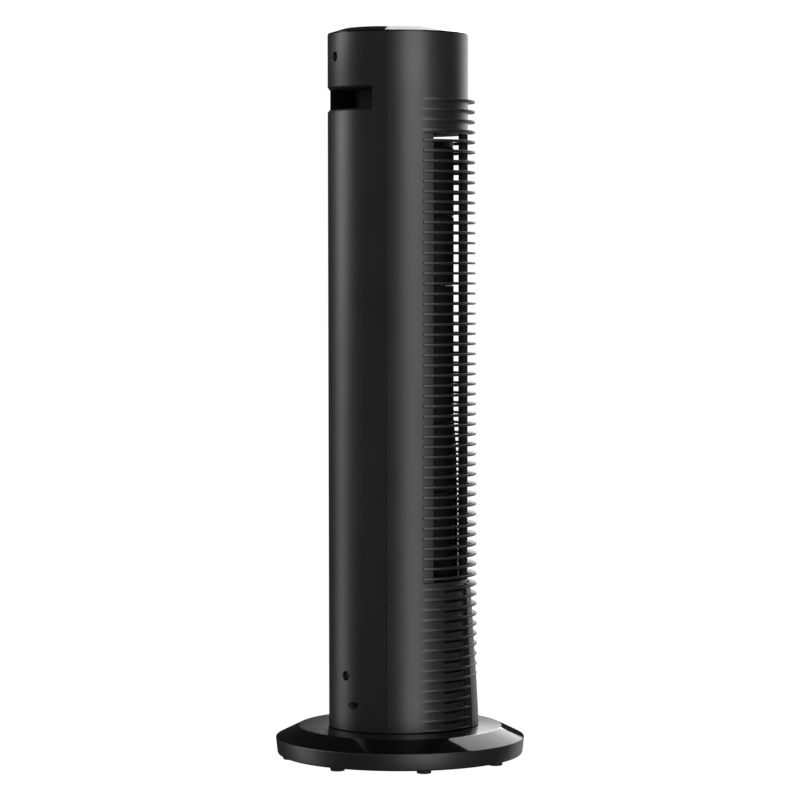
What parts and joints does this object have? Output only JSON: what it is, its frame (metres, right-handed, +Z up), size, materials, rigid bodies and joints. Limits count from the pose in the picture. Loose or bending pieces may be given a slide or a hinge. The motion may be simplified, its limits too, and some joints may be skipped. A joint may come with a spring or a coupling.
{
  "type": "tower fan",
  "caption": "Slim floor-standing tower fan: a ribbed two-shell tower with a cross-flow wheel swings on a round base; grip recess at the back, glossy cap with push buttons.",
  "frame": {"origin": "on the floor, under the middle of the round base, on the axis that the tower swings about", "axes": "+Z up; the tower's front grille faces -Y, its grip recess +Y; +X is to the right of someone who looks along +Y at the front"},
  "size_m": [0.2432, 0.2432, 0.711],
  "materials": {
    "black_satin": "satin, fine texture",
    "black_gloss": "polished",
    "black_matte": "matte",
    "black_wheel": "semi-matte",
    "black_rubber": "matte",
    "steel": "zinc plated",
    "white_acetal": "smooth",
    "board": "lacquered"
  },
  "bodies": {
    "base": {"base_front": "black_satin", "base_rear": "black_satin", "foot_1": "black_rubber", "foot_2": "black_rubber", "foot_3": "black_rubber", "foot_4": "black_rubber", "foot_5": "black_rubber", "foot_6": "black_rubber", "foot_7": "black_rubber", "foot_8": "black_rubber", "column": "white_acetal", "column_nut": "white_acetal", "slide_ring": "white_acetal", "ring_gear": "white_acetal", "base_screw_1": "steel", "base_screw_2": "steel", "base_screw_3": "steel", "base_screw_4": "steel"},
    "tower": {"rear_housing": "black_satin", "front_housing": "black_satin", "front_grille": "black_satin", "lower_front_panel": "black_satin", "top_cap": "black_gloss", "handle_cup": "black_matte", "upper_screw": "steel", "lower_screw": "steel", "cord_gland": "black_rubber", "outlet_deflector": "black_matte", "outlet_wall_left": "black_matte", "outlet_wall_right": "black_matte", "control_panel": "black_gloss", "control_board": "board", "upper_bulkhead": "black_matte", "lower_bulkhead": "black_matte", "bearing_holder": "black_matte", "bearing_bush": "black_rubber", "rear_air_guide": "black_matte", "motor_case": "steel", "run_capacitor": "board", "turntable": "black_matte", "swing_motor": "steel", "swing_post_left": "black_matte", "swing_post_right": "black_matte"},
    "wheel": {"impeller_segment_1": "black_wheel", "impeller_segment_2": "black_wheel", "impeller_segment_3": "black_wheel", "impeller_segment_4": "black_wheel", "impeller_segment_5": "black_wheel", "impeller_segment_6": "black_wheel", "impeller_end_disc": "black_wheel", "motor_shaft": "steel", "wheel_coupling": "black_rubber"},
    "pinion": {"swing_pinion": "white_acetal"},
    "push_power": {"button_power": "black_matte"},
    "push_speed": {"button_speed": "black_matte"},
    "push_swing": {"button_swing": "black_matte"},
    "push_timer": {"button_timer": "black_matte"}
  },
  "joints": [
    {"name": "tower_swing", "type": "hinge", "parent": "base", "child": "tower", "pos_m": [0, 0, 0], "axis": [0, 0, 1], "range_deg": [-4.5, 65.5]},
    {"name": "wheel_spin", "type": "hinge", "parent": "tower", "child": "wheel", "pos_m": [0, -0.0114, 0], "axis": [0, 0, 1], "continuous": true},
    {"name": "pinion_turn", "type": "hinge", "parent": "tower", "child": "pinion", "pos_m": [0, 0.04, 0], "axis": [0, 0, 1], "range_deg": [-14, 197]},
    {"name": "press_power", "type": "slide", "parent": "tower", "child": "push_power", "axis": [0, 0, -1], "range_m": [0, 0.0012], "stiffness_N_per_m": 800},
    {"name": "press_speed", "type": "slide", "parent": "tower", "child": "push_speed", "axis": [0, 0, -1], "range_m": [0, 0.0012], "stiffness_N_per_m": 800},
    {"name": "press_swing", "type": "slide", "parent": "tower", "child": "push_swing", "axis": [0, 0, -1], "range_m": [0, 0.0012], "stiffness_N_per_m": 800},
    {"name": "press_timer", "type": "slide", "parent": "tower", "child": "push_timer", "axis": [0, 0, -1], "range_m": [0, 0.0012], "stiffness_N_per_m": 800}
  ],
  "couplings": [
    {"joint": "pinion_turn", "follows": "tower_swing", "ratio": 3}
  ]
}
